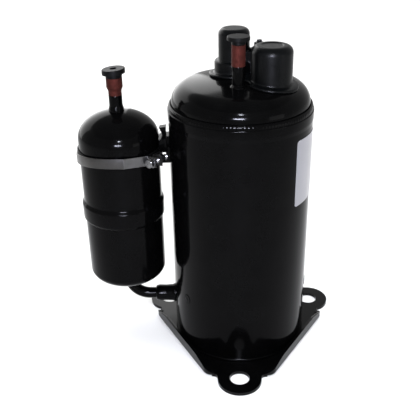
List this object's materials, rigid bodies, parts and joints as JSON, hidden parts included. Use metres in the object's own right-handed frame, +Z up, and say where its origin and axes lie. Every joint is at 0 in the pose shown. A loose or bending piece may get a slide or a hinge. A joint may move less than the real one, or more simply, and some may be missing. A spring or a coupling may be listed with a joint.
{
  "type": "refrigeration rotary compressor",
  "caption": "Hermetic rotary refrigeration compressor: upright black steel shell with strapped-on suction accumulator, copper ports and three-lobed foot plate.",
  "frame": {"origin": "centre of the three foot holes, on the underside of the feet", "axes": "+Z up along the shell's and the crankshaft's axis; -Y towards the single front foot; -X towards the suction accumulator"},
  "size_m": [0.2464, 0.1776, 0.3048],
  "materials": {
    "black_paint": "high gloss black baked enamel",
    "copper": "bare copper, dulled by brazing",
    "winding_copper": "enamelled copper wire, laced",
    "black_rubber": "matte moulded rubber",
    "cover_plastic": "satin moulded phenolic",
    "dark_steel": "black oxide steel",
    "galvanised_steel": "zinc plated",
    "bright_zinc": "bright zinc plated",
    "label_film": "pale printed film, blank",
    "terminal_steel": "tinned steel",
    "terminal_glass": "sealing glass",
    "protector_plastic": "brown-black phenolic",
    "spring_steel": "polished spring steel",
    "machined_iron": "ground and oiled",
    "tool_steel": "ground steel",
    "sheet_steel": "pressed sheet, oiled",
    "lamination_steel": "stacked electrical sheet",
    "cast_aluminium": "as cast",
    "brass": "cast and machined",
    "slot_film": "polyester film"
  },
  "bodies": {
    "housing": {"accumulator_inlet_pipe": "copper", "accumulator_lower_shell": "black_paint", "accumulator_upper_shell": "black_paint", "accumulator_weld": "black_paint", "baffle_plate": "sheet_steel", "base_plate": "black_paint", "bearing_plug_welds": "black_paint", "bottom_cap": "black_paint", "bottom_weld": "black_paint", "cover_stud": "dark_steel", "cylinder_block": "machined_iron", "discharge_pipe": "copper", "discharge_weld": "black_paint", "inlet_collar": "black_paint", "main_bearing": "machined_iron", "muffler_cover": "sheet_steel", "overload_protector": "protector_plastic", "protector_spring": "spring_steel", "protector_tabs": "terminal_steel", "pump_bolts": "tool_steel", "rating_label": "label_film", "shell_tube": "black_paint", "slot_liners": "slot_film", "stator_core": "lamination_steel", "stator_windings": "winding_copper", "strainer_screen": "sheet_steel", "strap_band": "galvanised_steel", "strap_bolt": "bright_zinc", "strap_bracket": "black_paint", "strap_liner": "black_rubber", "strap_nut": "bright_zinc", "strap_washers": "bright_zinc", "sub_bearing": "machined_iron", "suction_pipe": "black_paint", "suction_sleeve": "black_paint", "terminal_body": "terminal_steel", "terminal_gasket": "black_rubber", "terminal_glass": "terminal_glass", "terminal_pins": "terminal_steel", "top_cap": "black_paint", "top_weld": "black_paint", "valve_rivet": "tool_steel", "valve_stop": "tool_steel", "vane_spring": "spring_steel"},
    "crank": {"crankshaft": "machined_iron", "rotor_core": "lamination_steel", "rotor_cage": "cast_aluminium", "balance_weights": "brass", "oil_paddle": "tool_steel"},
    "roller": {"rolling_piston": "machined_iron"},
    "vane": {"vane": "tool_steel"},
    "reed": {"valve_reed": "spring_steel"},
    "cover": {"terminal_cover": "cover_plastic", "cover_nut": "dark_steel", "cover_washer": "dark_steel"},
    "suction_plug": {"suction_plug": "black_rubber"},
    "discharge_plug": {"discharge_plug": "black_rubber"}
  },
  "joints": [
    {"name": "crank_spin", "type": "hinge", "parent": "housing", "child": "crank", "pos_m": [0, 0, 0.041], "axis": [0, 0, 1], "continuous": true},
    {"name": "roller_turn", "type": "hinge", "parent": "crank", "child": "roller", "pos_m": [0.00171, -0.0047, 0.041], "axis": [0, 0, 1], "continuous": true},
    {"name": "vane_slide", "type": "slide", "parent": "housing", "child": "vane", "axis": [-0.9063, 0.4226, 0], "range_m": [-0.0086, 0], "deforming": ["vane_spring"]},
    {"name": "reed_flex", "type": "hinge", "parent": "housing", "child": "reed", "pos_m": [-0.0322, 0.00675, 0.063], "axis": [0.5736, -0.8192, 0], "range_deg": [0, 5], "stiffness_Nm_per_rad": 0.05},
    {"name": "cover_lift", "type": "slide", "parent": "housing", "child": "cover", "axis": [0, 0, 1], "range_m": [0, 0.08]},
    {"name": "suction_plug_pull", "type": "slide", "parent": "housing", "child": "suction_plug", "axis": [0, 0, 1], "range_m": [0, 0.03]},
    {"name": "discharge_plug_pull", "type": "slide", "parent": "housing", "child": "discharge_plug", "axis": [0, 0, 1], "range_m": [0, 0.03]}
  ],
  "couplings": [
    {"joint": "roller_turn", "follows": "crank_spin", "ratio": -1}
  ]
}
